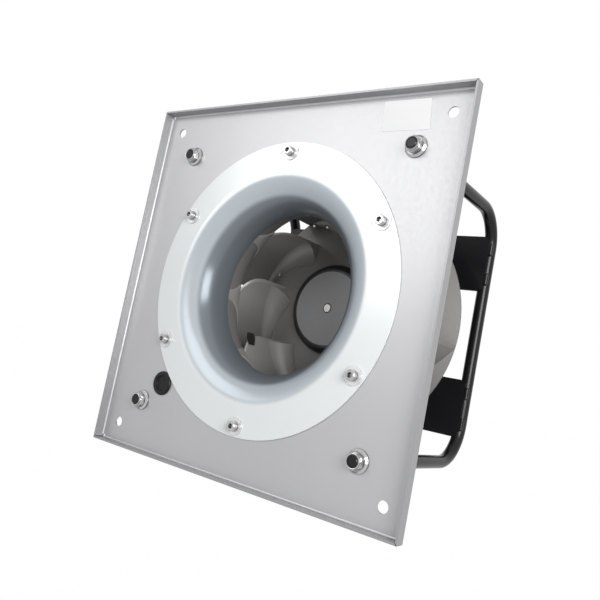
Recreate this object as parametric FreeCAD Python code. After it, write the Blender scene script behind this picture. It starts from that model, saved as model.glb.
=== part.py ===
import FreeCAD, Part
import math
import os

os.makedirs("parts", exist_ok=True)

V = FreeCAD.Vector

# All sizes in millimetres.  X runs to the right, Y runs to the rear, Z runs up.
# The origin is the centre of the panel's front face and the fan turns about Y.

# panel
panel_side = 400.0
sheet = 2.0
rim_height = 11.5
corner_pitch = 351.6
corner_hole_r = 5.5
relief_r = 1.8
corner_slit = 0.7

# cage of two bent bars
cage_pitch = 289.4
bar_r = 7.0
bar_bend = 42.0
cage_depth = 216.6
thread_r = 5.0
nut_height = 10.0
nut_flats = 15.0
nut_flange_r = 10.9

# inlet ring
ring_r = 155.2
ring_sheet = 1.5
bell_start_r = 124.4
throat_r = 88.0
bell_depth = 34.0
exit_r = 90.4
exit_depth = 46.5
screw_circle_r = 144.6
screw_count = 6
washer_r = 9.0
washer_t = 1.6
screw_r = 3.0
screw_head_r = 5.0
screw_head_h = 6.0

# grommet
grommet_x = -117.5
grommet_z = -121.0
grommet_r = 13.2
grommet_bore_r = 5.0

# bracket that carries the motor
bracket_t = 3.0
arm_reach = 147.0
arm_low = 52.0
arm_high = 117.0
web_half = 84.0
arm_round = 8.0
motor_screw_circle_r = 60.0
motor_screw_r = 3.0

# impeller
blade_count = 8
blade_phase = 127.3
tip_r = 143.5
lead_r = 93.0
blade_wrap = 51.0
blade_t = 1.8
disc_t = 2.0
disc_rim_depth = 170.0
disc_eye_depth = 131.5
shroud_t = 1.8
shroud_gap = 2.6
shroud_rim_depth = 98.0
shroud_front_depth = 41.0
foot_t = 1.2
seat = 0.05
root_height = 36.0
rivet_r = 2.0

# motor
rotor_r = 54.0
rotor_face_r = 44.0
rotor_face_depth = 119.0
rotor_length = 49.0
yoke_t = 5.0
magnet_t = 3.0
air_gap = 0.7
pole_count = 8
slot_count = 12
tooth_w = 7.0
shaft_r = 5.0
bearing_r = 13.0
bearing_w = 8.0
housing_r = 66.0
fin_count = 24
fin_t = 2.5

running = 0.05
front_face = -ring_sheet
plate_rear = cage_depth - bar_r
plate_front = plate_rear - bracket_t
shroud_eye_r = exit_r + ring_sheet + shroud_gap


def export(name, shape):
    shape.exportStep("parts/" + name + ".step")


def polar(r, angle, y=0.0):
    a = math.radians(angle)
    return V(r * math.cos(a), y, r * math.sin(a))


def rod(r, x, z, y0, y1):
    """Round bar along Y."""
    return Part.makeCylinder(r, y1 - y0, V(x, y0, z), V(0, 1, 0))


def tube(r_out, r_in, y0, y1, x=0.0, z=0.0):
    return rod(r_out, x, z, y0, y1).cut(rod(r_in, x, z, y0 - 1, y1 + 1))


def block(x0, x1, y0, y1, z0, z1):
    return Part.makeBox(x1 - x0, y1 - y0, z1 - z0, V(x0, y0, z0))


def turned(shape, angle):
    """A copy turned about the fan axis, anticlockwise seen from the front."""
    copy = shape.copy()
    copy.rotate(V(0, 0, 0), V(0, 1, 0), -angle)
    return copy


def ring_of(shape, count, start=0.0):
    """Equal copies spread round the fan axis, as one compound."""
    return Part.makeCompound([turned(shape, start + 360.0 * k / count) for k in range(count)])


def many(shapes):
    return Part.makeCompound(list(shapes))


def edge_through(points):
    if len(points) == 2:
        return Part.makeLine(points[0], points[1])
    curve = Part.BSplineCurve()
    curve.interpolate(points)
    return curve.toShape()


def revolved(runs):
    """Solid of revolution from runs of (radius, depth) points; two points make a line."""
    edges = [edge_through([V(r, y, 0) for r, y in run]) for run in runs]
    face = Part.Face(Part.Wire(edges))
    return face.revolve(V(0, 0, 0), V(0, 1, 0), 360)


def turned_profile(points):
    """Solid of revolution with straight sides."""
    closed = points + [points[0]]
    return revolved([[closed[i], closed[i + 1]] for i in range(len(points))])


def offset_runs(runs, t):
    """The same runs moved sideways by t, to the left of travel."""
    chain = [p for run in runs for p in run]
    moved = []
    for i, (r, y) in enumerate(chain):
        before = chain[i - 1] if i > 0 else (r, y)
        after = chain[i + 1] if i + 1 < len(chain) else (r, y)
        if before == (r, y) and i > 1:
            before = chain[i - 2]
        if after == (r, y) and i + 2 < len(chain):
            after = chain[i + 2]
        dr = after[0] - before[0]
        dy = after[1] - before[1]
        size = math.hypot(dr, dy)
        moved.append((r - t * dy / size, y + t * dr / size))
    out = []
    first = 0
    for run in runs:
        out.append(moved[first:first + len(run)])
        first += len(run)
    return out


def sheet_of_revolution(runs, t):
    """Formed round sheet: one skin given as runs, the other skin a thickness away."""
    other = offset_runs(runs, t)
    back = [list(reversed(run)) for run in reversed(other)]
    loop = runs + [[runs[-1][-1], other[-1][-1]]] + back + [[other[0][0], runs[0][0]]]
    return revolved(loop)


def rounded_outline(points, radii, y):
    """Closed wire in a plane of constant depth, each corner rounded by its own radius."""
    count = len(points)
    starts = []
    ends = []
    mids = []
    for i in range(count):
        here = V(points[i][0], y, points[i][1])
        before = V(points[i - 1][0], y, points[i - 1][1])
        after = V(points[(i + 1) % count][0], y, points[(i + 1) % count][1])
        u = (before - here).normalize()
        w = (after - here).normalize()
        half = u.getAngle(w) / 2.0
        cut = radii[i] / math.tan(half)
        centre = here + (u + w).normalize() * (radii[i] / math.sin(half))
        starts.append(here + u * cut)
        ends.append(here + w * cut)
        mids.append(centre + (here - centre).normalize() * radii[i])
    edges = []
    for i in range(count):
        if radii[i] > 0:
            edges.append(Part.Arc(starts[i], mids[i], ends[i]).toShape())
        edges.append(Part.makeLine(ends[i], starts[(i + 1) % count]))
    return Part.Wire(edges)


def plate(points, radii, y0, y1):
    face = Part.Face(rounded_outline(points, radii, y0))
    return face.extrude(V(0, y1 - y0, 0))


def four_corners(pitch):
    h = pitch / 2.0
    return [(h, h), (-h, h), (-h, -h), (h, -h)]


# ---- panel and inlet ring

def mounting_panel():
    """Square tray with its rims folded forward and the corners relieved."""
    h = panel_side / 2.0
    bend = sheet
    side = [(-h, -rim_height), (h, -rim_height), (h, sheet), (-h, sheet)]
    outer = block(-h, h, -rim_height, sheet, -h, h)
    inner = block(-h + sheet, h - sheet, -rim_height - 1, 0, -h + sheet, h - sheet)
    outer_edges = [e for e in outer.Edges if _all_at(e, sheet)]
    outer = outer.makeFillet(bend + sheet, outer_edges)
    inner_edges = [e for e in inner.Edges if _all_at(e, 0.0)]
    inner = inner.makeFillet(bend, inner_edges)
    tray = outer.cut(inner)
    for x, z in four_corners(2 * (h - sheet - relief_r)):
        tray = tray.cut(rod(relief_r, x, z, -relief_r, sheet + 1))
    for k in range(4):
        slit = block(math.sqrt(2.0) * (h - sheet - relief_r), math.sqrt(2.0) * h + 1, -rim_height - 1, sheet + 1,
                     -corner_slit / 2.0, corner_slit / 2.0)
        tray = tray.cut(turned(slit, 45 + 90 * k))
    tray = tray.cut(rod(bell_start_r + 1.0, 0, 0, -1, sheet + 1))
    for x, z in four_corners(corner_pitch):
        tray = tray.cut(rod(corner_hole_r, x, z, -1, sheet + 1))
    for x, z in four_corners(cage_pitch):
        tray = tray.cut(rod(thread_r + 0.3, x, z, -1, sheet + 1))
    for k in range(screw_count):
        p = polar(screw_circle_r, 90 + 360.0 * k / screw_count)
        tray = tray.cut(rod(screw_r + 1.6, p.x, p.z, -1, sheet + 1))
    tray = tray.cut(rod(grommet_r - 2.5, grommet_x, grommet_z, -1, sheet + 1))
    return tray


def _all_at(edge, y):
    return all(abs(v.Point.y - y) < 1e-6 for v in edge.Vertexes)


def bell_skin():
    """Front skin of the inlet ring from the flange edge to the rear lip."""
    flat = [(ring_r, front_face), (bell_start_r, front_face)]
    bend = []
    for k in range(9):
        a = math.radians(90.0 * k / 8)
        r = bell_start_r - (bell_start_r - throat_r) * math.sin(a)
        y = bell_depth - (bell_depth - front_face) * math.cos(a)
        bend.append((r, y))
    lip = []
    for k in range(1, 5):
        s = k / 4.0
        y = bell_depth + (exit_depth - bell_depth) * s
        lip.append((throat_r + (exit_r - throat_r) * s * s, y))
    return [flat, bend + lip]


def inlet_ring():
    body = sheet_of_revolution(bell_skin(), -ring_sheet)
    for k in range(screw_count):
        p = polar(screw_circle_r, 90 + 360.0 * k / screw_count)
        body = body.cut(rod(screw_r + 0.3, p.x, p.z, front_face - 1, 1))
    return body


def ring_screws():
    """Cap screws with a six-sided socket, through the ring into the rivet nuts."""
    top = front_face - washer_t
    head = rod(screw_head_r, 0, 0, top - screw_head_h, top)
    head = head.makeChamfer(0.6, [e for e in head.Edges if _all_at(e, top - screw_head_h)])
    socket = hexagon(5.0, top - screw_head_h - 1, top - screw_head_h + 3.0)
    body = head.cut(socket).fuse(rod(screw_r, 0, 0, top, sheet + 10.0)).removeSplitter()
    return many(_at_screw(body, k) for k in range(screw_count))


def _at_screw(shape, k):
    copy = shape.copy()
    copy.translate(polar(screw_circle_r, 90 + 360.0 * k / screw_count))
    return copy


def hexagon(flats, y0, y1):
    r = flats / math.sqrt(3.0)
    points = [polar(r, 60.0 * k + 30.0, y0) for k in range(6)]
    face = Part.Face(Part.makePolygon(points + [points[0]]))
    return face.extrude(V(0, y1 - y0, 0))


def ring_washers():
    body = tube(washer_r, screw_r + 0.2, front_face - washer_t, front_face)
    return many(_at_screw(body, k) for k in range(screw_count))


def ring_rivet_nuts():
    """Threaded sleeves set in the panel behind each ring screw."""
    outer = rod(screw_r + 1.6, 0, 0, 0, sheet + 12.0)
    collar = rod(screw_r + 3.4, 0, 0, sheet, sheet + 4.0)
    body = outer.fuse(collar).cut(rod(screw_r, 0, 0, -1, sheet + 13.0)).removeSplitter()
    return many(_at_screw(body, k) for k in range(screw_count))


def panel_grommet():
    """Rubber grommet with a thin web across its bore, ready to be pierced by a lead."""
    neck = grommet_r - 2.5
    g = grommet_bore_r
    points = [(0, -0.4), (g, -0.4), (g, -1.6), (g + 1.2, -2.6), (grommet_r - 1.2, -2.6)]
    points += [(grommet_r, -1.4), (grommet_r, 0), (neck, 0), (neck, sheet), (grommet_r, sheet)]
    points += [(grommet_r - 1.5, sheet + 3.0), (g + 1.0, sheet + 3.0), (g, sheet + 0.6), (0, sheet + 0.6)]
    body = turned_profile(points)
    body.translate(V(grommet_x, 0, grommet_z))
    return body


# ---- cage

def cage_bar(side):
    """Round bar bent to a U, its two ends turned down and threaded for the nuts."""
    x = side * cage_pitch / 2.0
    h = cage_pitch / 2.0
    straight = cage_depth - bar_bend
    low = h - bar_bend
    shape = Part.makeCylinder(bar_r, 2 * low, V(x, cage_depth, -low), V(0, 0, 1))
    for s in (-1, 1):
        face = Part.Face(Part.Wire([Part.makeCircle(bar_r, V(x, straight, s * h), V(0, 1, 0))]))
        shape = shape.fuse(face.revolve(V(x, straight, s * low), V(1, 0, 0), -s * 90))
        shape = shape.fuse(rod(bar_r, x, s * h, sheet, straight))
        end = rod(thread_r, x, s * h, -nut_height - 0.4, sheet)
        tip = [e for e in end.Edges if _all_at(e, -nut_height - 0.4)]
        shape = shape.fuse(end.makeChamfer(0.8, tip))
    return shape


def cage_nuts():
    """Hexagon nuts with a flange, one on each bar end."""
    hexa = hexagon(nut_flats, -nut_height, 0)
    corner = nut_flats / math.sqrt(3.0)
    limit = turned_profile([(0, -nut_height), (nut_flats / 2.0, -nut_height), (corner, -nut_height + 1.0),
                            (corner, 0), (0, 0)])
    flange = turned_profile([(0, 0), (nut_flange_r, 0), (nut_flange_r, -1.2), (nut_flats / 2.0, -3.6),
                             (0, -3.6)])
    body = hexa.common(limit).fuse(flange).cut(rod(thread_r, 0, 0, -nut_height - 1, 1)).removeSplitter()
    out = []
    for x, z in four_corners(cage_pitch):
        copy = body.copy()
        copy.translate(V(x, 0, z))
        out.append(copy)
    return many(out)


def motor_bracket(bars):
    """Plate with four arms that lie on the bars, and side windows between the arms."""
    a, b, c = arm_reach, arm_high, arm_low
    w = web_half
    r = arm_round
    points = [(a, b), (-a, b), (-a, c), (-w, c), (-w, -c), (-a, -c), (-a, -b), (a, -b), (a, -c),
              (w, -c), (w, c), (a, c)]
    radii = [r, r, r, r, r, r, r, r, r, r, r, r]
    body = plate(points, radii, plate_front, plate_rear)
    body = body.cut(rod(boss_r() + 1.2, 0, 0, plate_front - 1, plate_rear + 1))
    for k in range(4):
        p = polar(motor_screw_circle_r, 45 + 90 * k)
        body = body.cut(rod(motor_screw_r + 0.3, p.x, p.z, plate_front - 1, plate_rear + 1))
    for bar in bars:
        body = body.cut(bar)
    return body


def bracket_welds(bars, bracket):
    """Short weld beads where each arm end lies on its bar."""
    out = []
    x = arm_reach + 1.6
    for sx in (-1, 1):
        for sz in (-1, 1):
            for z0, z1 in ((arm_low + arm_round, arm_low + arm_round + 14),
                           (arm_high - arm_round - 14, arm_high - arm_round)):
                lo = min(sz * z0, sz * z1)
                bead = Part.makeCylinder(3.0, z1 - z0, V(sx * x, plate_rear - 0.6, lo), V(0, 0, 1))
                bead = bead.makeFillet(1.4, [bead.Edges[0], bead.Edges[2]])
                bead = bead.cut(bars[0]).cut(bars[1]).cut(bracket)
                out.append(max(bead.Solids, key=lambda s: s.Volume))
    return many(out)


def motor_screws():
    """Hexagon screws from behind the bracket into the motor housing."""
    s = motor_screw_r
    head = hexagon(10.0, plate_rear + 1.6, plate_rear + 5.6)
    body = head.fuse(rod(s, 0, 0, plate_front - 7.0, plate_rear + 1.6)).removeSplitter()
    return _on_motor_circle(body)


def motor_washers():
    body = tube(motor_screw_r + 3.0, motor_screw_r + 0.2, plate_rear, plate_rear + 1.6)
    return _on_motor_circle(body)


def _on_motor_circle(body):
    out = []
    for k in range(4):
        copy = body.copy()
        copy.translate(polar(motor_screw_circle_r, 45 + 90 * k))
        out.append(copy)
    return many(out)


# ---- motor

def boss_r():
    return motor_screw_circle_r - motor_screw_r - 6.0


def housing_front():
    return rotor_face_depth + rotor_length + 4.0


def base_rear():
    return housing_front() + 8.0


def cavity_r():
    return boss_r() - 6.5


def board_depth():
    return base_rear() + 10.0


def boss_rear():
    return plate_rear + 2.4


def electronics_housing():
    """Cast housing: base, finned wall, screw flange and a boss that fills the bracket hole."""
    f = housing_front()
    b = base_rear()
    wall = cavity_r() + 5.0
    flange = plate_front - 8.0
    body = rod(housing_r - 6.0, 0, 0, f, b)
    body = body.fuse(rod(wall, 0, 0, b, flange))
    body = body.fuse(rod(housing_r, 0, 0, flange, plate_front))
    body = body.fuse(rod(boss_r(), 0, 0, plate_front, boss_rear()))
    fins = []
    for k in range(fin_count):
        angle = 360.0 * k / fin_count + 180.0 / fin_count
        if abs((angle - gland_angle() + 180) % 360 - 180) < 16:
            continue
        fin = block(wall - 1.0, housing_r - 2.0, b, flange, -fin_t / 2.0, fin_t / 2.0)
        fins.append(turned(fin, angle))
    for fin in fins:
        body = body.fuse(fin)
    body = body.cut(rod(cavity_r(), 0, 0, board_depth(), boss_rear() + 1))
    body = body.cut(rod(cavity_r() - 3.5, 0, 0, b, board_depth() + 1))
    body = body.cut(rod(bush_r(), 0, 0, f - 1, b + 1))
    for k in range(4):
        p = polar(motor_screw_circle_r, 45 + 90 * k)
        body = body.cut(rod(motor_screw_r, p.x, p.z, flange, plate_front + 1))
        q = polar(boss_r() - 3.2, 90 * k)
        body = body.cut(rod(1.6, q.x, q.z, boss_rear() - 7.0, boss_rear() + 1))
    pad = _gland_pad()
    body = body.fuse(pad.cut(rod(wall - 1.0, 0, 0, b - 1, flange + 1)))
    return body.cut(_gland_hole()).removeSplitter()


def gland_angle():
    return 225.0


def gland_depth():
    return (base_rear() + plate_front - 8.0) / 2.0


def _gland_pad():
    inner = cavity_r() + 3.0
    half = (plate_front - 8.0 - base_rear()) / 2.0
    y = gland_depth()
    return turned(block(inner, housing_r - 2.0, y - half, y + half, -10.0, 10.0), gland_angle())


def _gland_hole():
    y = gland_depth()
    hole = Part.makeCylinder(5.0, housing_r - cavity_r() + 8.0, V(cavity_r() - 8.0, y, 0), V(1, 0, 0))
    return turned(hole, gland_angle())


def cable_gland():
    """Gland body with a hexagon and a domed cap; its bore is plugged until a lead is fitted."""
    y = gland_depth()
    start = housing_r - 2.0
    stem = Part.makeCylinder(5.0, 10.0, V(start - 10.0, y, 0), V(1, 0, 0))
    hexa = hexagon(14.0, 0, 5.0)
    hexa.rotate(V(0, 0, 0), V(0, 0, 1), -90)
    hexa.translate(V(start, y, 0))
    cap = Part.makeCone(6.4, 4.6, 8.0, V(start + 5.0, y, 0), V(1, 0, 0))
    mouth = Part.makeCylinder(2.6, 9.0, V(start + 6.0, y, 0), V(1, 0, 0))
    body = stem.fuse(hexa).fuse(cap).cut(mouth).removeSplitter()
    return turned(body, gland_angle())


def electronics_cover():
    """Shallow lid over the electronics, held by four small screws."""
    r = boss_r()
    y = boss_rear()
    body = rod(r, 0, 0, y, y + 9.0)
    body = body.makeFillet(3.0, [e for e in body.Edges if _all_at(e, y + 9.0)])
    body = body.cut(rod(cavity_r(), 0, 0, y - 1, y + 6.5))
    for k in range(4):
        q = polar(r - 3.2, 90 * k)
        body = body.cut(rod(1.8, q.x, q.z, y - 1, y + 10))
        body = body.cut(rod(3.0, q.x, q.z, y + 4.0, y + 10))
    return body


def cover_screws():
    y = boss_rear()
    head = rod(2.8, 0, 0, y + 4.0, y + 6.4)
    body = head.cut(hexagon(2.5, y + 5.0, y + 7.0)).fuse(rod(1.6, 0, 0, y - 6.0, y + 4.0)).removeSplitter()
    out = []
    for k in range(4):
        copy = body.copy()
        copy.translate(polar(boss_r() - 3.2, 90 * k))
        out.append(copy)
    return many(out)


def circuit_board():
    """Round board on the ledge of the housing, with its tallest parts."""
    y = board_depth()
    board = rod(cavity_r() - 0.1, 0, 0, y, y + 1.6)
    board = board.fuse(rod(7.0, 16.0, 12.0, y + 1.6, y + 11.0))
    board = board.fuse(rod(7.0, -4.0, 22.0, y + 1.6, y + 11.0))
    board = board.fuse(block(-30, -12, y + 1.6, y + 9.0, -16, 4))
    board = board.fuse(block(2, 26, y + 1.6, y + 7.0, -26, -12))
    return board.removeSplitter()


def bush_r():
    return bearing_r + 3.0


def front_bearing():
    return rotor_face_depth + 18.0


def rear_bearing():
    return housing_front() - 1.0


def stator_bush():
    """Bearing tube fixed in the housing; the stator is pressed on its outside."""
    b = base_rear()
    f = front_bearing() - 1.0
    body = rod(bush_r(), 0, 0, f, b).fuse(rod(bush_r() + 10.0, 0, 0, b, b + 3.0))
    body = body.cut(rod(bearing_r - 1.6, 0, 0, f - 1, b + 4.0))
    body = body.cut(rod(bearing_r, 0, 0, f - 1, front_bearing() + bearing_w))
    body = body.cut(rod(bearing_r, 0, 0, rear_bearing(), b + 4.0))
    return body.removeSplitter()


def bearing_starts():
    return (front_bearing(), rear_bearing())


def outer_races():
    return many(tube(bearing_r, bearing_r - 2.2, y, y + bearing_w) for y in bearing_starts())


def inner_races():
    return many(tube(shaft_r + 2.2, shaft_r, y, y + bearing_w) for y in bearing_starts())


def ball_r():
    return (bearing_r - 2.2 - shaft_r - 2.2) / 2.0 - running


def ball_sets():
    """Balls and their cage rings, one set for each bearing."""
    path = (bearing_r + shaft_r) / 2.0
    out = []
    for y in bearing_starts():
        mid = y + bearing_w / 2.0
        cage = tube(path + 0.5, path - 0.5, mid - 2.4, mid + 2.4)
        for k in range(7):
            p = polar(path, 360.0 * k / 7, mid)
            cage = cage.fuse(Part.makeSphere(ball_r(), p))
        out.append(cage)
    return many(out)


def core_front():
    return rotor_face_depth + 16.0


def core_rear():
    return core_front() + 24.0


def core_r():
    return rotor_r - yoke_t - magnet_t - air_gap


def stator_core():
    """Laminated core: hub ring, teeth and pole shoes."""
    y0, y1 = core_front(), core_rear()
    body = tube(bush_r() + 8.0, bush_r(), y0, y1)
    shoe = tube(core_r(), core_r() - 4.0, y0, y1)
    for k in range(slot_count):
        angle = 360.0 * k / slot_count
        gap = block(core_r() - 6, core_r() + 2, y0 - 1, y1 + 1, -1.5, 1.5)
        shoe = shoe.cut(turned(gap, angle + 180.0 / slot_count))
        tooth = block(bush_r() + 7.0, core_r() - 3.0, y0, y1, -tooth_w / 2.0, tooth_w / 2.0)
        body = body.fuse(turned(tooth, angle))
    return body.fuse(shoe).removeSplitter()


def stator_windings():
    """One coil round each tooth."""
    r0 = bush_r() + 8.3
    half = r0 * math.tan(math.pi / slot_count) - 0.3
    r1 = math.sqrt((core_r() - 4.3) ** 2 - half ** 2)
    y0, y1 = core_front(), core_rear()
    coil = block(r0, r1, y0 - 4.0, y1 + 4.0, -half, half)
    coil = coil.makeFillet(1.6, [e for e in coil.Edges if _runs_outward(e)])
    hole = tooth_w / 2.0 + 0.1
    coil = coil.cut(block(r0 - 1, r1 + 1, y0 - 0.1, y1 + 0.1, -hole, hole))
    return ring_of(coil, slot_count)


def _runs_outward(edge):
    a, b = [v.Point for v in edge.Vertexes]
    return abs(a.y - b.y) < 1e-6 and abs(a.z - b.z) < 1e-6


def rotor_rear():
    return rotor_face_depth + rotor_length


def rotor_cup():
    """Outer rotor: rounded front shoulder, side wall and a boss on the shaft."""
    f = rotor_face_depth
    inner = rotor_r - yoke_t
    hub = shaft_r + 7.0
    shoulder = []
    for k in range(7):
        a = math.radians(90.0 * k / 6)
        r = rotor_face_r + 1.2 + (rotor_r - rotor_face_r - 1.2) * math.sin(a)
        shoulder.append((r, f + 11.0 - 11.0 * math.cos(a)))
    runs = [[(shaft_r, f + 2.0), (rotor_face_r, f + 2.0)], [(rotor_face_r, f + 2.0), (rotor_face_r, f)],
            [(rotor_face_r, f), (rotor_face_r + 1.2, f)], shoulder,
            [(rotor_r, f + 11.0), (rotor_r, rotor_rear())], [(rotor_r, rotor_rear()), (inner, rotor_rear())],
            [(inner, rotor_rear()), (inner, f + 8.0)], [(inner, f + 8.0), (hub, f + 8.0)],
            [(hub, f + 8.0), (hub, f + 14.0)], [(hub, f + 14.0), (shaft_r, f + 14.0)],
            [(shaft_r, f + 14.0), (shaft_r, f + 2.0)]]
    return revolved(runs)


def rotor_face():
    """Flat disc set in the front of the rotor, with a hole that shows the shaft end."""
    f = rotor_face_depth
    return tube(rotor_face_r, shaft_r + 0.8, f, f + 2.0)


def rotor_magnets():
    inner = rotor_r - yoke_t - magnet_t
    ring = tube(rotor_r - yoke_t, inner, core_front() - 2.0, core_rear() + 2.0)
    for k in range(pole_count):
        gap = block(inner - 1, rotor_r, 0, 300, -0.4, 0.4)
        ring = ring.cut(turned(gap, 360.0 * k / pole_count))
    return ring


def shaft():
    f = rotor_face_depth
    rear = base_rear() + 1.5
    body = rod(shaft_r, 0, 0, f - 0.6, rear)
    ends = [e for e in body.Edges if _all_at(e, f - 0.6) or _all_at(e, rear)]
    body = body.makeChamfer(0.5, ends)
    y = rear_bearing() + bearing_w
    return body.cut(tube(shaft_r + 1, shaft_r - 0.6, y, y + 1.0))


def shaft_clip():
    """Retaining ring behind the rear bearing."""
    y = rear_bearing() + bearing_w
    ring = tube(shaft_r + 1.8, shaft_r - 0.6, y, y + 1.0)
    return ring.cut(block(0, 20, y - 1, y + 2, -1.5, 1.5))


# ---- impeller

def disc_depth(r):
    """Depth of the front skin of the back disc at a radius."""
    return disc_eye_depth + (r - rotor_r) * (disc_rim_depth - disc_eye_depth) / (tip_r - rotor_r)


def shroud_skin():
    """Inner skin of the shroud from its collar to its rim."""
    straight = [(shroud_eye_r, shroud_front_depth), (shroud_eye_r, shroud_front_depth + 7.0)]
    bend = []
    y0 = shroud_front_depth + 7.0
    for k in range(9):
        s = k / 8.0
        r = shroud_eye_r + (tip_r - shroud_eye_r) * s
        y = y0 + (shroud_rim_depth - y0) * math.sqrt(1 - (1 - s) ** 2.2)
        bend.append((r, y))
    return [straight, bend]


def impeller_back_disc(rivets):
    """Shallow cone of sheet with a collar pressed on the rotor and a turned rim."""
    runs = [[(rotor_r, disc_eye_depth + 9.0), (rotor_r, disc_eye_depth)],
            [(rotor_r, disc_eye_depth), (tip_r, disc_rim_depth)],
            [(tip_r, disc_rim_depth), (tip_r, disc_rim_depth + disc_t)],
            [(tip_r, disc_rim_depth + disc_t), (rotor_r + disc_t, disc_eye_depth + disc_t + 0.8)],
            [(rotor_r + disc_t, disc_eye_depth + disc_t + 0.8), (rotor_r + disc_t, disc_eye_depth + 9.0)],
            [(rotor_r + disc_t, disc_eye_depth + 9.0), (rotor_r, disc_eye_depth + 9.0)]]
    return revolved(runs).cut(rivets)


def impeller_shroud():
    return sheet_of_revolution(shroud_skin(), -shroud_t)


def blade_angle(r):
    """Angle of the blade's middle line behind its trailing edge: a spiral of even slope."""
    return -blade_wrap * math.log(tip_r / r) / math.log(tip_r / lead_r)


def blade_line(offset, extra=1.5, count=9):
    """Points along the blade, moved sideways by offset, in the plane of depth zero."""
    centre = []
    for k in range(count):
        r = lead_r - extra + (tip_r + extra - lead_r + extra) * k / (count - 1.0)
        centre.append(polar(r, blade_angle(r)))
    points = []
    for k, p in enumerate(centre):
        a = centre[max(0, k - 1)]
        b = centre[min(count - 1, k + 1)]
        d = (b - a).normalize()
        points.append(p + V(-d.z, 0, d.x) * offset)
    return points


def blade_prism(t, y0, y1):
    """Blade of a given thickness drawn straight through a range of depths."""
    near = blade_line(t / 2.0)
    far = blade_line(-t / 2.0)
    edges = [edge_through(near), Part.makeLine(near[-1], far[-1]),
             edge_through(list(reversed(far))), Part.makeLine(far[0], near[0])]
    face = Part.Face(Part.Wire(edges))
    face.translate(V(0, y0, 0))
    return face.extrude(V(0, y1 - y0, 0))


def shroud_depth(r):
    y0 = shroud_front_depth + 7.0
    s = min(1.0, max(0.0, (r - shroud_eye_r) / (tip_r - shroud_eye_r)))
    return y0 + (shroud_rim_depth - y0) * math.sqrt(1 - (1 - s) ** 2.2)


def blade_ceiling():
    """Line just under the shroud's inner skin that the blades reach up to."""
    return offset_runs([shroud_skin()[1]], seat)[0]


def passage():
    """Space between the back disc and the shroud, out to the tip circle."""
    bend = blade_ceiling()
    inner = rotor_r + 1.0
    corners = [bend[-1], (tip_r, bend[-1][1]), (tip_r, disc_rim_depth - seat),
               (inner, disc_depth(inner) - seat), (inner, bend[0][1]), bend[0]]
    return revolved([bend] + [[corners[k], corners[k + 1]] for k in range(5)])


def lead_cutter():
    """Space inside the leading edges: straight at the back, then swept out to the shroud."""
    y1 = disc_rim_depth
    y2 = shroud_depth(lead_r + 10.0)
    y3 = y2 + 26.0
    y0 = shroud_front_depth
    sweep = [(lead_r, y3), (lead_r + 0.8, y3 - 9.0), (lead_r + 3.4, y2 + 7.0), (lead_r + 10.0, y2)]
    return revolved([[(rotor_r, y1), (lead_r, y1)], [(lead_r, y1), (lead_r, y3)], sweep,
                     [(lead_r + 10.0, y2), (lead_r + 10.0, y0)], [(lead_r + 10.0, y0), (rotor_r, y0)],
                     [(rotor_r, y0), (rotor_r, y1)]])


def toe_radius():
    return rotor_r + 0.4 * (lead_r - rotor_r)


def heel_angle(r):
    """Angle of the edge where the sheet of a blade runs out on the back disc."""
    v = (r - toe_radius()) / (tip_r - 1.5 - toe_radius())
    return -0.8 * blade_wrap * (1 - min(1.0, max(0.0, v))) ** 1.4


def foot_outline():
    """Outline of the foot that a blade spreads on the back disc."""
    inner = []
    for k in range(8):
        r = tip_r - 1.5 - (tip_r - 1.5 - toe_radius()) * k / 7.0
        inner.append(polar(r, heel_angle(r)))
    outer = []
    start = lead_r + 0.4
    for k in range(7):
        r = start + (tip_r - 4.0 - start) * k / 6.0
        outer.append(polar(r, blade_angle(r) + 35.0 / r))
    edges = [edge_through(inner), Part.makeLine(inner[-1], outer[0]), edge_through(outer),
             Part.makeLine(outer[-1], inner[0])]
    return Part.Face(Part.Wire(edges))


def root_section(near, far, height):
    """Slice of the rounded root: upright at the blade, flat where it runs out in the foot."""
    across = far - near
    span = across.Length - 1.2
    across.normalize()
    floor = disc_depth(math.hypot(near.x, near.z))
    drop = disc_depth(math.hypot(far.x, far.z)) - floor
    curve = []
    for k in range(7):
        a = math.radians(15.0 * k)
        x = span * (1 - math.cos(a))
        y = floor + drop * x / span - height * (1 - math.sin(a)) - foot_t * 0.6
        curve.append(near + across * x + V(0, y, 0))
    deep_far = curve[-1] + V(0, 6.0, 0)
    deep_near = near + V(0, floor + 6.0, 0)
    return Part.Wire([edge_through(curve), Part.makeLine(curve[-1], deep_far),
                      Part.makeLine(deep_far, deep_near), Part.makeLine(deep_near, curve[0])])


def blade_root():
    """Rounded root on the hollow side of a blade, from the toe of its foot out to the tip."""
    sections = []
    for k in range(8):
        s = k / 7.0
        r = lead_r + 0.4 + (tip_r - 4.4 - lead_r) * s
        near = polar(r, blade_angle(r))
        r = toe_radius() + 1.0 + (tip_r - 5.0 - toe_radius()) * s
        far = polar(r, heel_angle(r))
        sections.append(root_section(near, far, root_height * (1 - s) + 6.0 * s))
    return Part.makeLoft(sections, True, False).common(passage())


def disc_skin_layer(t):
    """Thin cone of metal lying on the front of the back disc."""
    a = rotor_r + 2.0
    low = disc_rim_depth - seat
    return turned_profile([(a, disc_depth(a) - seat - t), (tip_r, low - t), (tip_r, low),
                           (a, disc_depth(a) - seat)])


def shroud_skin_layer(t):
    """Thin layer of metal lying under the shroud."""
    return sheet_of_revolution([blade_ceiling()], t)


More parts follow.
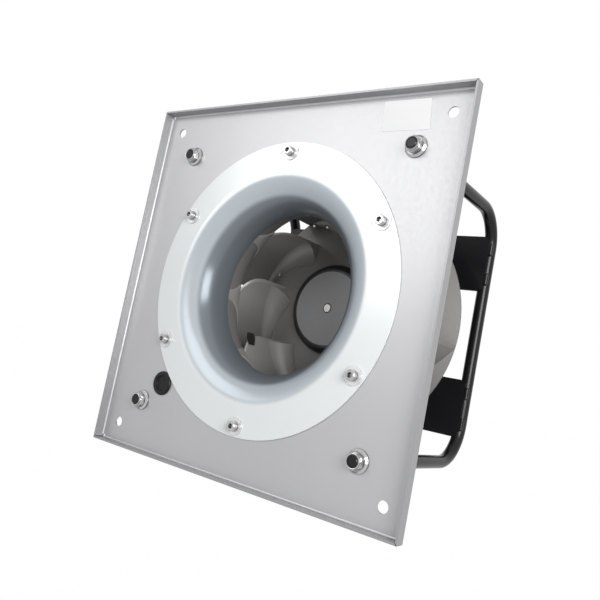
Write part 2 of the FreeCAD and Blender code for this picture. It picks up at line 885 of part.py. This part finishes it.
def shroud_foot_outline():
    """Outline of the narrow flange that a blade folds under the shroud."""
    near = []
    far = []
    start = lead_r + 7.0
    for k in range(7):
        r = start + (tip_r - 2.0 - start) * k / 6.0
        near.append(polar(r, blade_angle(r)))
        far.append(polar(r - 9.0 * (1 - k / 6.0), blade_angle(r) + 9.5 - 6.0 * k / 6.0))
    edges = [edge_through(near), Part.makeLine(near[-1], far[-1]), edge_through(list(reversed(far))),
             Part.makeLine(far[0], near[0])]
    return Part.Face(Part.Wire(edges))


def impeller_blade(rivets):
    """Curved sheet blade with a foot on the back disc and a flange under the shroud."""
    low = shroud_front_depth
    high = disc_rim_depth + 4.0
    blade = blade_prism(blade_t, low, high).common(passage()).cut(lead_cutter())
    foot = foot_outline()
    foot.translate(V(0, low, 0))
    foot = foot.extrude(V(0, high - low, 0)).common(disc_skin_layer(foot_t))
    flange = shroud_foot_outline()
    flange.translate(V(0, low, 0))
    flange = flange.extrude(V(0, high - low, 0)).common(shroud_skin_layer(foot_t))
    body = blade.fuse(blade_root()).fuse(foot).fuse(flange)
    return body.cut(rivets)


def rivet_at(point, normal, before, after):
    """Rivet with a low round head on the near side and a flat head on the far side."""
    n = normal.normalize()
    start = point + n * before
    end = point - n * after
    length = before + after
    shank = Part.makeCylinder(rivet_r, length, end, n)
    head = Part.makeCone(rivet_r * 2.0, rivet_r * 1.1, rivet_r * 0.7, start, n)
    tail = Part.makeCone(rivet_r * 1.9, rivet_r * 1.5, rivet_r * 0.5, end, n * -1)
    return shank.fuse(head).fuse(tail).removeSplitter()


def cone_normal():
    """Direction square to the back disc, pointing to the front, in the radius and depth plane."""
    dr = tip_r - rotor_r
    dy = disc_rim_depth - disc_eye_depth
    size = math.hypot(dr, dy)
    return dy / size, -dr / size


def disc_rivets():
    """Rivets of one blade through its foot and the back disc."""
    nr, ny = cone_normal()
    out = []
    spots = [(tip_r - 8.0, -3.6)]
    for s in (0.62, 0.3):
        r = lead_r + (tip_r - lead_r) * s - 4.0
        spots.append((r, blade_angle(r) + 900.0 / r))
    for r, angle in spots:
        point = polar(r, angle, disc_depth(r))
        n = polar(nr, angle, ny)
        out.append(rivet_at(point, n, foot_t, disc_t))
    return many(out)


def balance_clip(blade):
    """Spring clip pushed over one leading edge to balance the wheel."""
    top = shroud_depth(lead_r + 10.0) + 5.5
    body = blade_prism(blade_t + 2.4, top, top + 11.0)
    r = lead_r
    keep = turned_profile([(r - 0.8, top - 1), (r + 3.0, top - 1), (r + 3.0, top + 12), (r - 0.8, top + 12)])
    body = body.common(keep).cut(blade)
    return turned(body, blade_phase + 360.0 * clip_blade() / blade_count)


def clip_blade():
    return 3


def build():
    bars = [cage_bar(-1), cage_bar(1)]
    bracket = motor_bracket(bars)
    export("mounting_panel", mounting_panel())
    export("inlet_ring", inlet_ring())
    export("ring_screws", ring_screws())
    export("ring_washers", ring_washers())
    export("ring_rivet_nuts", ring_rivet_nuts())
    export("panel_grommet", panel_grommet())
    export("cage_bar_left", bars[0])
    export("cage_bar_right", bars[1])
    export("cage_nuts", cage_nuts())
    export("motor_bracket", bracket)
    export("bracket_welds", bracket_welds(bars, bracket))
    export("motor_screws", motor_screws())
    export("motor_washers", motor_washers())
    export("electronics_housing", electronics_housing())
    export("cable_gland", cable_gland())
    export("electronics_cover", electronics_cover())
    export("cover_screws", cover_screws())
    export("circuit_board", circuit_board())
    export("stator_bush", stator_bush())
    export("outer_races", outer_races())
    export("inner_races", inner_races())
    export("ball_sets", ball_sets())
    export("stator_core", stator_core())
    export("stator_windings", stator_windings())
    export("rotor_cup", rotor_cup())
    export("rotor_face", rotor_face())
    export("rotor_magnets", rotor_magnets())
    export("shaft", shaft())
    export("shaft_clip", shaft_clip())
    rivets = disc_rivets()
    all_rivets = ring_of(rivets, blade_count, blade_phase)
    blade = impeller_blade(rivets)
    export("impeller_back_disc", impeller_back_disc(all_rivets))
    export("impeller_shroud", impeller_shroud())
    export("impeller_blades", ring_of(blade, blade_count, blade_phase))
    export("impeller_rivets", all_rivets)
    export("balance_clip", balance_clip(blade))


build()
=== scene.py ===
import math

import bmesh
import bpy
from mathutils import Matrix, Vector


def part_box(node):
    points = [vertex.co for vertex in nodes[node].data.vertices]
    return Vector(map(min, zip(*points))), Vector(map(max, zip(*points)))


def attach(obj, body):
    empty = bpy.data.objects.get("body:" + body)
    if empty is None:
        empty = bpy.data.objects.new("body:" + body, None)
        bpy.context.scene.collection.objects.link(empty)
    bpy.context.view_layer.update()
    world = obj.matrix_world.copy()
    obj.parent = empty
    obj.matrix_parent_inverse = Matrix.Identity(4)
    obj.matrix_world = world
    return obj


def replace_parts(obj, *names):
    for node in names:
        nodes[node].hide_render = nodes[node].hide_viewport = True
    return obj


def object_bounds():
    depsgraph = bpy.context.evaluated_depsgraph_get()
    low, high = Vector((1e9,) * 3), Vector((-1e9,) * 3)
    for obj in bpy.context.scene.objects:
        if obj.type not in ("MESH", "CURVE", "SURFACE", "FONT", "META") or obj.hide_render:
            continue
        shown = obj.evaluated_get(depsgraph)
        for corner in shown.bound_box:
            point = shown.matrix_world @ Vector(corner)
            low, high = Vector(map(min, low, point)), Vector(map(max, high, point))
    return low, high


MM = 0.001
WHITE = (1.0, 1.0, 1.0, 1.0)
EVEN = (1.0, 1.0, 1.0)  # no stretch, or no change of tone

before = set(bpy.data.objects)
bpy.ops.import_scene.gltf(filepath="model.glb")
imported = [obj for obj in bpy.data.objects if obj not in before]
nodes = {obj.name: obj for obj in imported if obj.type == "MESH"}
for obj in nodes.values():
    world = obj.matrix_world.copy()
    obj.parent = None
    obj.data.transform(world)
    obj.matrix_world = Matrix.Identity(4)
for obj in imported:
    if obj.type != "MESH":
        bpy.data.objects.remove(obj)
cad_low, cad_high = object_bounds()

# camera, solved from the panel's corners and holes in the photograph
CAMERA_AT = Vector((0.436161, -0.517042, -0.075183))
CAMERA_RIGHT = Vector((0.796168, 0.573129, 0.194012))
CAMERA_UP = Vector((-0.096422, -0.196369, 0.975778))
SENSOR_MM = 36.0
LENS_MM = 39.64

# bare label on the panel: its corners (x, z) in mm, seen from the front
LABEL_CORNERS = ((102.2, 192.0), (152.2, 191.4), (155.4, 160.7), (104.7, 161.4))
LABEL_CORNER_RADIUS = 1.6 * MM
LABEL_CORNER_SEGMENTS = 4
LABEL_STANDS_OFF = 0.12 * MM
LABEL_THICKNESS = 0.1 * MM

# turned pieces: rows of (y, radius) in mm, y negative in front of the panel's front face
TURN_STEPS = 60
SHARP_EDGE = math.radians(28.0)

# lock nut and the dark ring in its collar
NUT_ACROSS_FLATS = 15.0
NUT_HEX_SPAN = (-8.2, -2.95)
NUT_FLANGE_RADIUS = 10.9
NUT_BORE_RADIUS = 5.02
NUT_ROWS = (
    (0.0, NUT_BORE_RADIUS), (0.0, NUT_FLANGE_RADIUS), (-1.3, NUT_FLANGE_RADIUS), (-1.7, 10.3),
    (-2.9, 8.9), (-3.0, 8.66), (-7.2, 8.66), (-7.8, 8.0), (-8.2, 7.3), (-8.25, 7.0), (-9.3, 7.0),
    (-9.75, 6.8), (-9.95, 6.4), (-9.85, 6.05), (-9.4, 5.95), (-9.4, NUT_BORE_RADIUS),
)
INSERT_ROWS = (
    (-8.6, NUT_BORE_RADIUS), (-8.6, 5.94), (-9.6, 5.94), (-9.8, 5.7), (-9.85, NUT_BORE_RADIUS),
)

# grommet, closed in the middle by a web
GROMMET_AT = (-117.5, -121.0)
GROMMET_ROWS = (
    (-0.5, 0.0), (-0.5, 7.7), (-1.0, 8.2), (-2.0, 8.5), (-2.5, 9.1), (-2.6, 9.8), (-2.6, 11.6),
    (-2.3, 12.6), (-1.4, 13.2), (0.0, 13.2), (0.0, 10.65), (1.5, 10.65), (1.5, 13.2),
    (3.9, 12.6), (4.5, 11.4), (4.5, 6.2), (2.1, 5.2), (2.1, 0.0),
)

# what every surface has in common, with the noise as shares of the surface's own scale
NOISE_SPAN = (0.3, 0.7)
BROAD_SHARE, BROAD_DETAIL = 0.2, 3.0
FINE_SHARE, FINE_DETAIL = 8.0, 4.0
BUMP_DEPTH = 0.4 * MM
COAT_ROUGHNESS = 0.12
SPANGLE_SCALE = 260.0
# painted shade in creases: occlusion samples, and the span of occlusion that is turned into shade
CREASE_SHADE_SAMPLES = 8
CREASE_SHADE_SPAN = (0.35, 0.9)

# how far the fine noise is drawn out along each axis
ROLLED = (1.0, 1.0, 4.0)
STACKED = (1.0, 30.0, 1.0)
WOUND = (1.0, 25.0, 1.0)

# painted shade set at radii round the fan axis, in mm: the ring's bell darker toward its throat,
# the wheel darker outward
RING_PAINTED_SHADE = (
    (88.0, (0.20, 0.22, 0.24)), (92.0, (0.22, 0.24, 0.26)), (97.5, (0.25, 0.27, 0.29)),
    (103.0, (0.58, 0.62, 0.65)), (117.0, (0.62, 0.66, 0.69)), (122.5, EVEN),
)
WHEEL_PAINTED_SHADE = ((100.0, EVEN), (126.0, (0.55, 0.55, 0.55)))

# where the panel's folded rims begin, in mm from its middle, and how soon the painted shade on
# them sets in
RIMS_FROM = 198.2
RIMS_FADE = 0.6

FLOOR_DROP = 0.22
STAGE_SIZE = 40.0
FLOOR_GREY = (0.6, 0.6, 0.6, 1.0)
FLOOR_ROUGHNESS = 0.9
FLOOR_GLOW = 0.995
ROOM_COLOUR = (0.84, 0.86, 0.90, 1.0)
ROOM_STRENGTH = 0.10

# name, place, aim, size and power of each lamp
LAMPS = (
    ("key", (1.1, -0.70, 0.22), (0.0, 0.0, 0.0), (0.7, 0.7), 18.0),
    ("front", (-0.55, -1.10, 0.52), (0.08, 0.0, 0.05), (0.9, 0.7), 4.6),
    ("side", (-1.0, 0.30, 0.9), (0.0, 0.12, 0.0), (0.8, 0.8), 1.8),
)


# ---- shader nodes

def feed(tree, node, inputs):
    """Link each input, given by name or number, to a socket, or set it to a value."""
    for key, value in inputs.items():
        if isinstance(value, bpy.types.NodeSocket):
            tree.links.new(value, node.inputs[key])
        else:
            node.inputs[key].default_value = value
    return node


def add(tree, kind, inputs):
    return feed(tree, tree.nodes.new(kind), inputs)


def calculate(tree, kind, operation, *inputs):
    node = tree.nodes.new(kind)
    node.operation = operation
    return feed(tree, node, dict(enumerate(inputs)))


def remap(tree, value, source, target=(0.0, 1.0)):
    """Carry a value from the source span to the target span and hold it inside."""
    node = add(tree, "ShaderNodeMapRange", {
        "Value": value, "From Min": source[0], "From Max": source[1],
        "To Min": target[0], "To Max": target[1],
    })
    return node.outputs["Result"]


def mix_colours(tree, factor, first, second, blend="MIX"):
    node = tree.nodes.new("ShaderNodeMix")
    node.data_type = "RGBA"
    node.blend_type = blend
    return feed(tree, node, {"Factor": factor, "A": first, "B": second}).outputs["Result"]


def object_place(tree):
    return tree.nodes.new("ShaderNodeTexCoord").outputs["Object"]


def noise(tree, place, scale, detail, stretch=EVEN):
    mapping = add(tree, "ShaderNodeMapping", {"Vector": place, "Scale": stretch})
    node = add(tree, "ShaderNodeTexNoise", {
        "Vector": mapping.outputs["Vector"], "Scale": scale, "Detail": detail,
    })
    return node.outputs["Fac"]


# ---- surfaces

def spangled(tree, place, tone, share):
    """Blend a flat random tone for each crystal of the zinc into the tone."""
    crystals = add(tree, "ShaderNodeTexVoronoi", {"Vector": place, "Scale": SPANGLE_SCALE})
    flat = add(tree, "ShaderNodeRGBToBW", {"Color": crystals.outputs["Color"]})
    mixer = add(tree, "ShaderNodeMix", {"Factor": share, "A": tone, "B": flat.outputs["Val"]})
    return mixer.outputs["Result"]


def surface(name, dark, light, metallic, rough, scale=40.0, stretch=EVEN, bump=0.02,
            spangle=0.0, coat=0.0, grain=0.15, specular=0.5):
    """Material whose tone, roughness and height all vary a little over the surface."""
    material = bpy.data.materials.new(name)
    material.use_nodes = True
    tree = material.node_tree
    place = object_place(tree)
    broad = noise(tree, place, scale * BROAD_SHARE, BROAD_DETAIL)
    fine = noise(tree, place, scale * FINE_SHARE, FINE_DETAIL, stretch)
    tone = remap(tree, broad, NOISE_SPAN)
    if spangle > 0.0:
        tone = spangled(tree, place, tone, spangle)
    relief = add(tree, "ShaderNodeBump", {
        "Strength": bump, "Distance": BUMP_DEPTH, "Height": fine,
    })
    feed(tree, tree.nodes["Principled BSDF"], {
        "Base Color": mix_colours(tree, tone, (*dark, 1.0), (*light, 1.0)),
        "Roughness": remap(tree, fine, NOISE_SPAN, (rough * (1 - grain), rough * (1 + grain))),
        "Metallic": metallic,
        "Specular IOR Level": specular,
        "Coat Weight": coat,
        "Coat Roughness": COAT_ROUGHNESS,
        "Normal": relief.outputs["Normal"],
    })
    return material


def tint(tree, tone):
    """Multiply the base colour by tone."""
    shader = tree.nodes["Principled BSDF"]
    colour = shader.inputs["Base Color"].links[0].from_socket
    feed(tree, shader, {"Base Color": mix_colours(tree, 1.0, colour, tone, "MULTIPLY")})


def paint_crease_shade(material, reach, deepest_shade):
    """Paint shade into the base colour where another surface stands closer than reach, in mm."""
    tree = material.node_tree
    nearby = add(tree, "ShaderNodeAmbientOcclusion", {"Distance": reach * MM})
    nearby.samples = CREASE_SHADE_SAMPLES
    tint(tree, remap(tree, nearby.outputs["AO"], CREASE_SHADE_SPAN, (deepest_shade, 1.0)))


def paint_shade_by_radius(material, stops):
    """Multiply the base colour by painted shade, read from the stops from the middle outward."""
    tree = material.node_tree
    flat = calculate(tree, "ShaderNodeVectorMath", "MULTIPLY", object_place(tree), (1.0, 0.0, 1.0))
    radius = calculate(tree, "ShaderNodeVectorMath", "LENGTH", flat.outputs["Vector"])
    first, last = stops[0][0], stops[-1][0]
    place = remap(tree, radius.outputs["Value"], (first * MM, last * MM))
    ramp = add(tree, "ShaderNodeValToRGB", {"Fac": place})
    ramp.color_ramp.interpolation = "EASE"
    for _ in stops[2:]:
        ramp.color_ramp.elements.new(0.5)
    for element, (stop_radius, tone) in zip(ramp.color_ramp.elements, stops):
        element.position = (stop_radius - first) / (last - first)
        element.color = (*tone, 1.0)
    tint(tree, ramp.outputs["Color"])


def paint_rim_shade(material, tone):
    """Paint shade onto the sheet where it is folded into rims."""
    tree = material.node_tree
    size = calculate(tree, "ShaderNodeVectorMath", "ABSOLUTE", object_place(tree))
    parts = add(tree, "ShaderNodeSeparateXYZ", {"Vector": size.outputs["Vector"]})
    far = calculate(tree, "ShaderNodeMath", "MAXIMUM", parts.outputs["X"], parts.outputs["Z"])
    span = ((RIMS_FROM - RIMS_FADE) * MM, RIMS_FROM * MM)
    tint(tree, remap(tree, far.outputs["Value"], span, (1.0, tone)))


def grey(value, warm=0.0):
    return (value * (1 + warm), value, value * (1 - warm))


SHEET = surface("zinc_sheet", (0.45, 0.45, 0.46), (0.48, 0.48, 0.49), metallic=0.6, rough=0.38,
                scale=30.0, bump=0.002, spangle=0.08, grain=0.08)
# painted shade in the sheet's creases and round the ring's edge
paint_crease_shade(SHEET, reach=1.4, deepest_shade=0.45)
# painted shade on the panel's folded rims
paint_rim_shade(SHEET, tone=0.72)
RING = surface("zinc_ring", (0.78, 0.80, 0.81), (0.81, 0.83, 0.84), metallic=0.25, rough=0.22,
               scale=26.0, bump=0.001, grain=0.04, specular=0.0)
# painted shade and painted reflection: the bell's tone falls toward the throat, where it would
# mirror the dark wheel
paint_shade_by_radius(RING, RING_PAINTED_SHADE)
ZINC = surface("zinc_plate", grey(0.42), grey(0.52), metallic=0.85, rough=0.20, scale=60.0)
# painted shade in the creases of the plated parts
paint_crease_shade(ZINC, reach=3.0, deepest_shade=0.12)
BLACK = surface("black_paint", (0.008, 0.008, 0.009), (0.011, 0.011, 0.012), metallic=0.0,
                rough=0.22, scale=50.0, bump=0.004, specular=0.25, grain=0.08)
NUT = surface("zinc_nut", grey(0.42), grey(0.50), metallic=0.85, rough=0.18, scale=60.0,
              bump=0.01)
# painted shade in the nuts' creases
paint_crease_shade(NUT, reach=4.0, deepest_shade=0.10)
RUBBER = surface("black_rubber", grey(0.005), grey(0.009), metallic=0.0, rough=0.42, scale=60.0,
                 specular=0.22)
WASHER = surface("washer_plate", grey(0.66), grey(0.72), metallic=0.5, rough=0.30, scale=60.0,
                 bump=0.01)
# painted shade round the washers' edges
paint_crease_shade(WASHER, reach=1.2, deepest_shade=0.25)
END = surface("thread_end", grey(0.020), grey(0.030), metallic=0.0, rough=0.5, scale=60.0,
              bump=0.03, specular=0.3)
WHEEL = surface("wheel_sheet", grey(0.32, 0.04), grey(0.39, 0.04), metallic=0.3, rough=0.52,
                scale=24.0, stretch=ROLLED)
# painted shade: the wheel's sheet darker outward, past 100 mm from the axis
paint_shade_by_radius(WHEEL, WHEEL_PAINTED_SHADE)
RIVET = surface("rivet_metal", grey(0.50), grey(0.62), metallic=0.85, rough=0.30, scale=60.0)
CASTING = surface("black_casting", grey(0.020), grey(0.032), metallic=0.1, rough=0.52, scale=50.0,
                  bump=0.12)
ROTOR = surface("rotor_black", grey(0.012), grey(0.020), metallic=0.1, rough=0.42, scale=50.0,
                bump=0.04)
FACE = surface("rotor_grey", (0.25, 0.25, 0.255), (0.275, 0.275, 0.28), metallic=0.15, rough=0.48)
# painted shade: the shroud is a darker copy of the wheel's sheet, the same metal
SHADED_WHEEL_SHROUD = surface("shroud_shaded_wheel_sheet", grey(0.19, 0.03), grey(0.24, 0.03), metallic=0.3, rough=0.50,
                 scale=24.0, stretch=ROLLED)
STEEL = surface("ground_steel", grey(0.42, 0.04), grey(0.50, 0.04), metallic=0.6, rough=0.34,
                scale=60.0)
CORE = surface("laminations", grey(0.18), grey(0.30), metallic=0.7, rough=0.45,
               stretch=STACKED, bump=0.1)
COPPER = surface("copper_wire", (0.42, 0.16, 0.07), (0.56, 0.24, 0.11), metallic=0.8, rough=0.32,
                 stretch=WOUND, bump=0.15)
MAGNET = surface("magnet", grey(0.07), grey(0.11), metallic=0.4, rough=0.5, scale=50.0)
BOARD = surface("board_green", (0.01, 0.08, 0.04), (0.02, 0.12, 0.06), metallic=0.0, rough=0.35,
                scale=60.0, coat=0.3)
PLASTIC = surface("black_plastic", grey(0.012), grey(0.020), metallic=0.0, rough=0.45, scale=60.0,
                  bump=0.04)
LABEL = surface("label_white", grey(0.80), grey(0.83), metallic=0.0, rough=0.45, scale=60.0,
                bump=0.01)

FINISH = {
    "mounting_panel": SHEET,
    "inlet_ring": RING,
    "ring_screws": ZINC,
    "ring_washers": WASHER,
    "ring_rivet_nuts": ZINC,
    "panel_grommet": RUBBER,
    "cage_bar_left": BLACK,
    "cage_bar_right": BLACK,
    "cage_nuts": ZINC,
    "motor_bracket": BLACK,
    "bracket_welds": BLACK,
    "motor_screws": ZINC,
    "motor_washers": ZINC,
    "electronics_housing": CASTING,
    "cable_gland": PLASTIC,
    "electronics_cover": CASTING,
    "cover_screws": ZINC,
    "circuit_board": BOARD,
    "stator_bush": STEEL,
    "outer_races": STEEL,
    "inner_races": STEEL,
    "ball_sets": STEEL,
    "stator_core": CORE,
    "stator_windings": COPPER,
    "rotor_cup": ROTOR,
    "rotor_face": FACE,
    "rotor_magnets": MAGNET,
    "shaft": STEEL,
    "shaft_clip": STEEL,
    "impeller_back_disc": WHEEL,
    "impeller_shroud": SHADED_WHEEL_SHROUD,
    "impeller_blades": WHEEL,
    "impeller_rivets": RIVET,
    "balance_clip": PLASTIC,
}

for node_name, material in FINISH.items():
    for slot in nodes[node_name].material_slots:
        slot.material = material


# ---- the bare label

def new_mesh(name, form, material):
    mesh = bpy.data.meshes.new(name)
    form.to_mesh(mesh)
    form.free()
    piece = bpy.data.objects.new(name, mesh)
    bpy.context.scene.collection.objects.link(piece)
    mesh.materials.append(material)
    return piece


def bare_label():
    form = bmesh.new()
    corners = [form.verts.new((x * MM, -LABEL_STANDS_OFF, z * MM)) for x, z in LABEL_CORNERS]
    form.faces.new(corners)
    bmesh.ops.recalc_face_normals(form, faces=form.faces)
    label = new_mesh("bare_label", form, LABEL)
    rounding = label.modifiers.new("rounding", "BEVEL")
    rounding.affect = "VERTICES"
    rounding.width = LABEL_CORNER_RADIUS
    rounding.segments = LABEL_CORNER_SEGMENTS
    thickness = label.modifiers.new("thickness", "SOLIDIFY")
    thickness.thickness = LABEL_THICKNESS
    thickness.offset = 0.0
    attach(label, "frame")


bare_label()


# ---- turned pieces

def turned(form, rows, x, z, radius_at):
    """Join rows of (y, radius) round the line at x, z into a closed skin.

    A first and last row of radius nought are points. Otherwise the last row joins the first.
    """
    rings = []
    for depth, radius in rows:
        if radius == 0.0:
            rings.append([form.verts.new((x * MM, depth * MM, z * MM))] * TURN_STEPS)
            continue
        ring = []
        for k in range(TURN_STEPS):
            angle = 2.0 * math.pi * k / TURN_STEPS
            r = radius_at(depth, radius, angle)
            ring.append(form.verts.new(((x + r * math.cos(angle)) * MM, depth * MM,
                                        (z + r * math.sin(angle)) * MM)))
        rings.append(ring)
    joined = list(zip(rings, rings[1:]))
    if rows[0][1] > 0.0:
        joined.append((rings[-1], rings[0]))
    for lower, upper in joined:
        for k in range(TURN_STEPS):
            after = (k + 1) % TURN_STEPS
            corners = list(dict.fromkeys((lower[k], lower[after], upper[after], upper[k])))
            if len(corners) > 2:
                form.faces.new(corners)


def plain_round(_depth, radius, _angle):
    return radius


def hexagonal(depth, radius, angle):
    """The row's radius, cut to the hexagon where the nut has flats."""
    front, rear = NUT_HEX_SPAN
    if not front <= depth <= rear:
        return radius
    sixth = math.pi / 3.0
    off_flat = (angle + sixth / 2.0) % sixth - sixth / 2.0
    return min(radius, NUT_ACROSS_FLATS / 2.0 / math.cos(off_flat))


def finish_turned(name, form, material, body):
    bmesh.ops.recalc_face_normals(form, faces=form.faces)
    piece = new_mesh(name, form, material)
    for face in piece.data.polygons:
        face.use_smooth = True
    edges = piece.modifiers.new("edges", "EDGE_SPLIT")
    edges.split_angle = SHARP_EDGE
    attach(piece, body)
    return piece


def lock_nuts():
    """Flanged nuts with a rounded collar that holds a dark ring round the thread."""
    _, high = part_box("cage_nuts")
    place = high.x / MM - NUT_FLANGE_RADIUS
    nuts, inserts = bmesh.new(), bmesh.new()
    for x in (-place, place):
        for z in (-place, place):
            turned(nuts, NUT_ROWS, x, z, hexagonal)
            turned(inserts, INSERT_ROWS, x, z, plain_round)
    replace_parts(finish_turned("lock_nuts", nuts, NUT, "frame"), "cage_nuts")
    finish_turned("nut_inserts", inserts, END, "frame")


def grommet():
    form = bmesh.new()
    turned(form, GROMMET_ROWS, *GROMMET_AT, plain_round)
    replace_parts(finish_turned("grommet", form, RUBBER, "frame"), "panel_grommet")


lock_nuts()
grommet()


# ---- stage

def shows_background(tree):
    """One for camera, glossy and transmission rays, so metal reflects the white that is seen."""
    rays = tree.nodes.new("ShaderNodeLightPath").outputs
    total = rays["Is Camera Ray"]
    for kind in ("Is Glossy Ray", "Is Transmission Ray"):
        more = calculate(tree, "ShaderNodeMath", "MAXIMUM", total, rays[kind])
        total = more.outputs["Value"]
    return total


def mix_shaders(tree, factor, first, second):
    return add(tree, "ShaderNodeMixShader", {"Fac": factor, 1: first, 2: second}).outputs["Shader"]


def plain_stage():
    material = bpy.data.materials.new("stage_white")
    material.use_nodes = True
    tree = material.node_tree
    shader = feed(tree, tree.nodes["Principled BSDF"], {
        "Base Color": FLOOR_GREY, "Roughness": FLOOR_ROUGHNESS,
    })
    plain = shader.outputs["BSDF"]
    glow = add(tree, "ShaderNodeEmission", {"Color": WHITE}).outputs["Emission"]
    glowing = mix_shaders(tree, FLOOR_GLOW, plain, glow)
    seen = mix_shaders(tree, shows_background(tree), plain, glowing)
    feed(tree, tree.nodes["Material Output"], {"Surface": seen})
    form = bmesh.new()
    bmesh.ops.create_grid(form, x_segments=1, y_segments=1, size=STAGE_SIZE / 2.0)
    floor = new_mesh("floor", form, material)
    floor.location = (0.0, 0.0, cad_low.z - FLOOR_DROP)


def world_light():
    world = bpy.data.worlds.new("studio")
    bpy.context.scene.world = world
    world.use_nodes = True
    tree = world.node_tree
    room = feed(tree, tree.nodes["Background"], {
        "Color": ROOM_COLOUR, "Strength": ROOM_STRENGTH,
    }).outputs["Background"]
    white = add(tree, "ShaderNodeBackground", {"Color": WHITE}).outputs["Background"]
    mixed = mix_shaders(tree, shows_background(tree), room, white)
    feed(tree, tree.nodes["World Output"], {"Surface": mixed})


def area_light(name, place, aim, size, power):
    lamp = bpy.data.lights.new(name, "AREA")
    lamp.shape = "RECTANGLE"
    lamp.size, lamp.size_y = size
    lamp.energy = power
    holder = bpy.data.objects.new(name, lamp)
    bpy.context.scene.collection.objects.link(holder)
    holder.location = place
    holder.rotation_mode = "QUATERNION"
    holder.rotation_quaternion = (Vector(aim) - Vector(place)).to_track_quat("-Z", "Y")


def camera():
    data = bpy.data.cameras.new("camera")
    data.sensor_width = SENSOR_MM
    data.lens = LENS_MM
    holder = bpy.data.objects.new("camera", data)
    bpy.context.scene.collection.objects.link(holder)
    back = CAMERA_RIGHT.cross(CAMERA_UP)
    turn = Matrix((CAMERA_RIGHT, CAMERA_UP, back)).transposed().to_4x4()
    holder.matrix_world = Matrix.Translation(CAMERA_AT) @ turn
    bpy.context.scene.camera = holder


plain_stage()
world_light()
for lamp in LAMPS:
    area_light(*lamp)
camera()

view = bpy.context.scene.view_settings
view.view_transform = "Standard"
